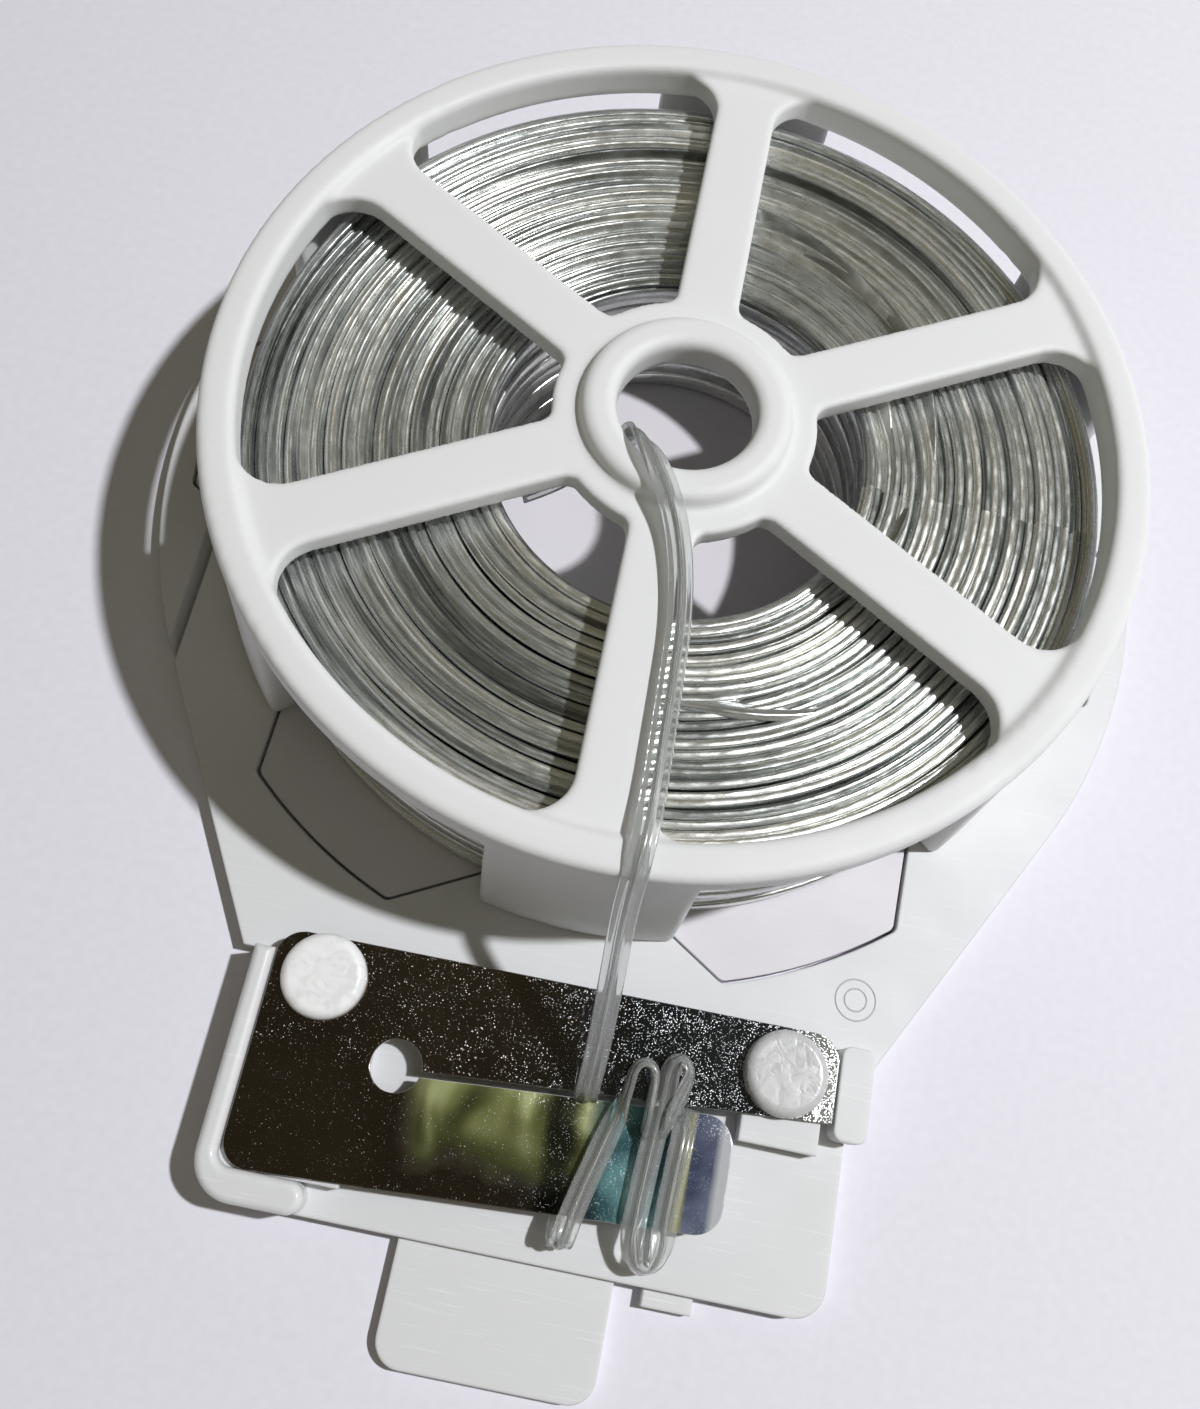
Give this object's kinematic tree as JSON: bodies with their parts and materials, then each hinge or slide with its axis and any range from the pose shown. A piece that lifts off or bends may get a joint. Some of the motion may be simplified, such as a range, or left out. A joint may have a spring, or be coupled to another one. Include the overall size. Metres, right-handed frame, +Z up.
{
  "type": "tie wire dispenser spool",
  "caption": "Coil of clear flat tie wire in a white moulded cage with a central eyelet and a steel press cutter at one end.",
  "frame": {"origin": "under the middle of the whole dispenser, on the surface that it lies on", "axes": "+Z up out of the rear cover along the coil's axis, +Y from the cutter head to the coil, +X to the right seen from the cutter end"},
  "size_m": [0.107, 0.1402, 0.0268],
  "materials": {
    "housing": "semi-gloss white moulded polypropylene",
    "cover": "satin white moulded polypropylene",
    "stake_clear": "translucent remelted polypropylene",
    "steel": "bright rolled stainless sheet, finely scratched",
    "tie": "clear glossy plastic over fine steel wire"
  },
  "bodies": {
    "housing": {"base_plate": "housing", "rear_cover": "cover", "cage_posts": "housing", "top_ring": "housing", "spokes": "housing", "eyelet_hub": "housing", "cutter_head": "housing", "thumb_tab": "housing", "cutter_plate": "steel", "stake_left": "housing", "stake_right": "stake_clear", "wire_lead": "tie"},
    "tongue": {"press_tongue": "steel", "wire_wraps": "tie"},
    "flap": {"side_flap": "housing"},
    "coil": {"wire_coil": "tie", "wire_coil_turns": "tie"}
  },
  "joints": [
    {"name": "tongue_press", "type": "hinge", "parent": "housing", "child": "tongue", "pos_m": [-0.0135, -0.0504, 0.0042], "axis": [0, 1, 0], "range_deg": [0, 1.5], "stiffness_Nm_per_rad": 3.4},
    {"name": "flap_bend", "type": "hinge", "parent": "housing", "child": "flap", "pos_m": [-0.0463, 0.0166, 0], "axis": [0, 1, 0], "range_deg": [-45, 0], "stiffness_Nm_per_rad": 0.02},
    {"name": "coil_spin", "type": "hinge", "parent": "housing", "child": "coil", "pos_m": [0, 0.0166, 0.01], "axis": [0, 0, 1], "continuous": true}
  ]
}
